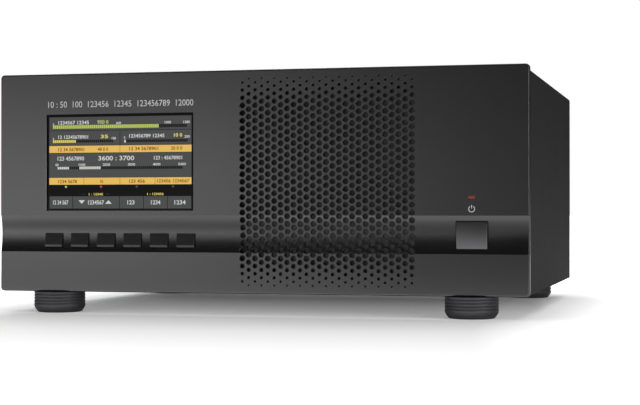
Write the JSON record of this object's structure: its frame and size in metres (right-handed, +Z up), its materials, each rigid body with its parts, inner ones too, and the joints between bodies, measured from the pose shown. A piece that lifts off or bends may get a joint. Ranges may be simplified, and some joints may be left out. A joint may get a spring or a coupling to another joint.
{
  "type": "hf linear amplifier",
  "caption": "Bench-top HF linear amplifier: black metal case on round feet, thick front panel with display, key row, power button and round perforations, and rear sockets.",
  "frame": {"origin": "on the surface that the feet stand on, under the middle of the whole object's box", "axes": "+X to the right seen from the front, +Y from the front panel to the rear, +Z up"},
  "size_m": [0.422, 0.381, 0.1888],
  "materials": {
    "panel_black": "fine satin black",
    "cover_black": "satin black powder coat",
    "key_black": "satin moulded black",
    "button_grey": "satin dark grey",
    "lamp_red": "clear red, lit",
    "window_glass": "smoked, with a black border",
    "display_frame": "plain metal frame",
    "board_green": "green solder mask",
    "board_blue": "blue solder mask",
    "black_plastic": "moulded black",
    "zinc_steel": "zinc plated",
    "mesh_grey": "woven dust mesh",
    "sheet_steel": "bare zinc-coated sheet",
    "black_screws": "black oxide",
    "foot_rubber": "ribbed charcoal rubber",
    "bare_aluminium": "extruded, bare",
    "copper": "bare and enamelled copper",
    "gold_ceramic": "gold flange, white ceramic lid",
    "ferrite": "dark sintered",
    "relay_white": "moulded white",
    "cable_jacket": "mixed cable jackets",
    "nickel": "nickel plated",
    "brass": "bare brass"
  },
  "bodies": {
    "chassis": {"front_panel": "panel_black", "lamp_lens": "lamp_red", "display_window": "window_glass", "display_module": "display_frame", "key_board": "board_green", "power_board": "board_green", "power_switch": "black_plastic", "panel_posts": "zinc_steel", "filter_frame": "black_plastic", "filter_mesh": "mesh_grey", "inner_front": "sheet_steel", "chassis_tray": "sheet_steel", "top_cover": "cover_black", "rear_panel": "cover_black", "side_rails": "zinc_steel", "cover_screws": "black_screws", "foot_front_left": "foot_rubber", "foot_front_right": "foot_rubber", "foot_rear_left": "foot_rubber", "foot_rear_right": "foot_rubber", "foot_screws": "zinc_steel", "front_fan_frame": "black_plastic", "rear_fan_frame": "black_plastic", "fan_guard": "zinc_steel", "fan_screws": "zinc_steel", "heat_sink": "bare_aluminium", "heat_spreader": "copper", "amplifier_board": "board_green", "rf_transistors": "gold_ceramic", "ferrite_transformers": "ferrite", "air_duct": "sheet_steel", "supply_case": "sheet_steel", "supply_board": "board_green", "equipment_shelf": "sheet_steel", "filter_board": "board_green", "filter_coils": "copper", "filter_relays": "relay_white", "control_board": "board_blue", "rf_cables": "cable_jacket", "wiring_loom": "cable_jacket", "aerial_socket": "nickel", "drive_socket": "nickel", "earth_stud": "brass", "mains_inlet": "black_plastic", "mains_switch": "black_plastic", "fuse_holders": "black_plastic", "signal_sockets": "nickel"},
    "key_1": {"key_1": "key_black"},
    "key_2": {"key_2": "key_black"},
    "key_3": {"key_3": "key_black"},
    "key_4": {"key_4": "key_black"},
    "key_5": {"key_5": "key_black"},
    "key_6": {"key_6": "key_black"},
    "power_button": {"power_button": "button_grey"},
    "front_fan": {"front_fan_rotor": "black_plastic"},
    "rear_fan": {"rear_fan_rotor": "black_plastic"},
    "mains_rocker": {"mains_rocker": "black_plastic"},
    "fuse_cap_1": {"fuse_cap_1": "black_plastic"},
    "fuse_cap_2": {"fuse_cap_2": "black_plastic"},
    "earth_nut": {"earth_nut": "brass"}
  },
  "joints": [
    {"name": "key_1_press", "type": "slide", "parent": "chassis", "child": "key_1", "axis": [0, 1, 0], "range_m": [0, 0.001], "stiffness_N_per_m": 500},
    {"name": "key_2_press", "type": "slide", "parent": "chassis", "child": "key_2", "axis": [0, 1, 0], "range_m": [0, 0.001], "stiffness_N_per_m": 500},
    {"name": "key_3_press", "type": "slide", "parent": "chassis", "child": "key_3", "axis": [0, 1, 0], "range_m": [0, 0.001], "stiffness_N_per_m": 500},
    {"name": "key_4_press", "type": "slide", "parent": "chassis", "child": "key_4", "axis": [0, 1, 0], "range_m": [0, 0.001], "stiffness_N_per_m": 500},
    {"name": "key_5_press", "type": "slide", "parent": "chassis", "child": "key_5", "axis": [0, 1, 0], "range_m": [0, 0.001], "stiffness_N_per_m": 500},
    {"name": "key_6_press", "type": "slide", "parent": "chassis", "child": "key_6", "axis": [0, 1, 0], "range_m": [0, 0.001], "stiffness_N_per_m": 500},
    {"name": "power_button_press", "type": "slide", "parent": "chassis", "child": "power_button", "axis": [0, 1, 0], "range_m": [0, 0.0025], "stiffness_N_per_m": 800},
    {"name": "front_fan_spin", "type": "hinge", "parent": "chassis", "child": "front_fan", "pos_m": [0.0568, -0.14422, 0.0985], "axis": [0, 1, 0], "continuous": true},
    {"name": "rear_fan_spin", "type": "hinge", "parent": "chassis", "child": "rear_fan", "pos_m": [0.0568, 0.15247, 0.0985], "axis": [0, 1, 0], "continuous": true},
    {"name": "mains_rocker_tilt", "type": "hinge", "parent": "chassis", "child": "mains_rocker", "pos_m": [-0.118, 0.16048, 0.0565], "axis": [1, 0, 0], "range_deg": [0, 22]},
    {"name": "fuse_cap_1_turn", "type": "hinge", "parent": "chassis", "child": "fuse_cap_1", "pos_m": [-0.084, 0.17378, 0.0565], "axis": [0, 1, 0], "range_deg": [0, 90]},
    {"name": "fuse_cap_2_turn", "type": "hinge", "parent": "chassis", "child": "fuse_cap_2", "pos_m": [-0.059, 0.17378, 0.0565], "axis": [0, 1, 0], "range_deg": [0, 90]},
    {"name": "earth_nut_turn", "type": "hinge", "parent": "chassis", "child": "earth_nut", "pos_m": [-0.022, 0.17278, 0.0565], "axis": [0, 1, 0], "range_deg": [0, 180]}
  ]
}
